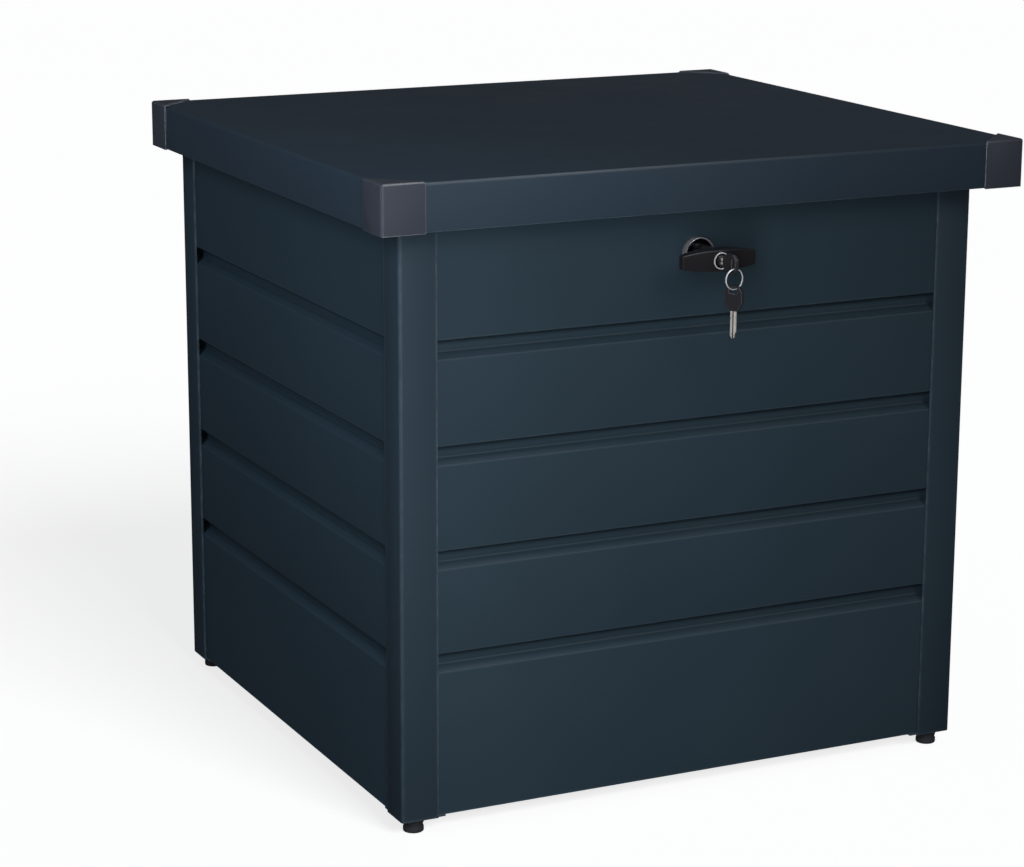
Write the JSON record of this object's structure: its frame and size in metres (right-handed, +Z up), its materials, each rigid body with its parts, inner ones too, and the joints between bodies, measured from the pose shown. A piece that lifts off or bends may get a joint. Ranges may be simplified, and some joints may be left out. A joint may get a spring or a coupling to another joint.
{
  "type": "lockable storage chest",
  "caption": "Freestanding ribbed steel storage chest with an overhanging hinged lid on gas struts, corner caps, small feet and a keyed T-handle lock in its front.",
  "frame": {"origin": "on the ground under the middle of the overall outline, with the keys in the lock", "axes": "+Z up, -Y towards the front with the lock, +X to the right seen from the front"},
  "size_m": [0.68, 0.6658, 0.63],
  "materials": {
    "wall_paint": "satin",
    "floor_paint": "satin",
    "lid_paint": "satin",
    "bracket_paint": "satin",
    "cap_plastic": "satin",
    "foot_plastic": "matt",
    "seal_rubber": "matt",
    "hinge_paint": "satin",
    "zinc": "satin",
    "chrome": "polished",
    "handle_black": "satin",
    "key_steel": "satin",
    "key_plastic": "satin",
    "strut_paint": "gloss",
    "socket_plastic": "satin"
  },
  "bodies": {
    "chest": {"bracket_screws": "zinc", "feet": "foot_plastic", "floor_pan": "floor_paint", "floor_stiffeners": "floor_paint", "foot_nuts": "zinc", "foot_plates": "wall_paint", "foot_studs": "zinc", "front_panel": "wall_paint", "hinge_body_leaves": "hinge_paint", "hinge_body_rivets": "hinge_paint", "hinge_pins": "hinge_paint", "left_panel": "wall_paint", "lid_seal": "seal_rubber", "lock_housing": "zinc", "lock_nut": "zinc", "lock_rosette": "chrome", "post_front_left": "wall_paint", "post_front_right": "wall_paint", "post_rear_left": "wall_paint", "post_rear_right": "wall_paint", "rear_panel": "wall_paint", "right_panel": "wall_paint", "rim_frame": "wall_paint", "strut_wall_brackets": "bracket_paint", "strut_wall_clips": "zinc", "wall_nuts": "zinc"},
    "lid": {"lid_tray": "lid_paint", "lid_stiffeners": "lid_paint", "cap_front_left": "cap_plastic", "cap_front_right": "cap_plastic", "cap_rear_left": "cap_plastic", "cap_rear_right": "cap_plastic", "hinge_lid_leaves": "hinge_paint", "hinge_lid_rivets": "hinge_paint", "strike": "lid_paint", "strike_screws": "zinc", "strut_lid_brackets": "lid_paint", "strut_lid_clips": "zinc"},
    "handle": {"handle": "handle_black", "lock_barrel": "chrome", "spindle": "zinc", "cam": "zinc", "cam_screw": "zinc"},
    "plug": {"plug": "key_steel"},
    "key": {"key_blade": "key_steel", "key_head": "key_plastic"},
    "ring": {"key_ring": "chrome"},
    "spare": {"spare_blade": "key_steel", "spare_head": "key_plastic"},
    "tube_left": {"strut_tube_left": "strut_paint", "strut_lower_socket_left": "socket_plastic"},
    "tube_right": {"strut_tube_right": "strut_paint", "strut_lower_socket_right": "socket_plastic"},
    "rod_left": {"strut_rod_left": "chrome", "strut_upper_socket_left": "socket_plastic"},
    "rod_right": {"strut_rod_right": "chrome", "strut_upper_socket_right": "socket_plastic"}
  },
  "joints": [
    {"name": "lid_hinge", "type": "hinge", "parent": "chest", "child": "lid", "pos_m": [0, 0.3285, 0.5827], "axis": [-1, 0, 0], "range_deg": [0, 80], "stiffness_Nm_per_rad": 5.6, "springref_deg": 110.01},
    {"name": "handle_turn", "type": "hinge", "parent": "chest", "child": "handle", "pos_m": [0, -0.2515, 0.537], "axis": [0, 1, 0], "range_deg": [0, 90]},
    {"name": "plug_turn", "type": "hinge", "parent": "handle", "child": "plug", "pos_m": [0, -0.2995, 0.537], "axis": [0, 1, 0], "range_deg": [0, 90]},
    {"name": "key_slide", "type": "slide", "parent": "plug", "child": "key", "axis": [0, -1, 0], "range_m": [0, 0.028]},
    {"name": "ring_swing", "type": "hinge", "parent": "key", "child": "ring", "pos_m": [0, -0.3239, 0.53345], "axis": [-0.9903, -0.1392, 0], "range_deg": [-10, 50]},
    {"name": "spare_swing", "type": "hinge", "parent": "ring", "child": "spare", "pos_m": [0, -0.3239, 0.51425], "axis": [-0.9903, -0.1392, 0], "range_deg": [-10, 40]},
    {"name": "strut_lower_left", "type": "hinge", "parent": "chest", "child": "tube_left", "pos_m": [-0.28, 0.26457, 0.41443], "axis": [-1, 0, 0], "range_deg": [0, 40]},
    {"name": "strut_upper_left", "type": "hinge", "parent": "lid", "child": "rod_left", "pos_m": [-0.28, 0.14942, 0.6009], "axis": [-1, 0, 0], "range_deg": [-40, 0]},
    {"name": "strut_lower_right", "type": "hinge", "parent": "chest", "child": "tube_right", "pos_m": [0.28, 0.26457, 0.41443], "axis": [-1, 0, 0], "range_deg": [0, 40]},
    {"name": "strut_upper_right", "type": "hinge", "parent": "lid", "child": "rod_right", "pos_m": [0.28, 0.14942, 0.6009], "axis": [-1, 0, 0], "range_deg": [-40, 0]}
  ],
  "couplings": [
    {"joint": "strut_lower_left", "follows": "lid_hinge", "ratio": 0.5},
    {"joint": "strut_upper_left", "follows": "lid_hinge", "ratio": -0.5},
    {"joint": "strut_lower_right", "follows": "lid_hinge", "ratio": 0.5},
    {"joint": "strut_upper_right", "follows": "lid_hinge", "ratio": -0.5}
  ]
}
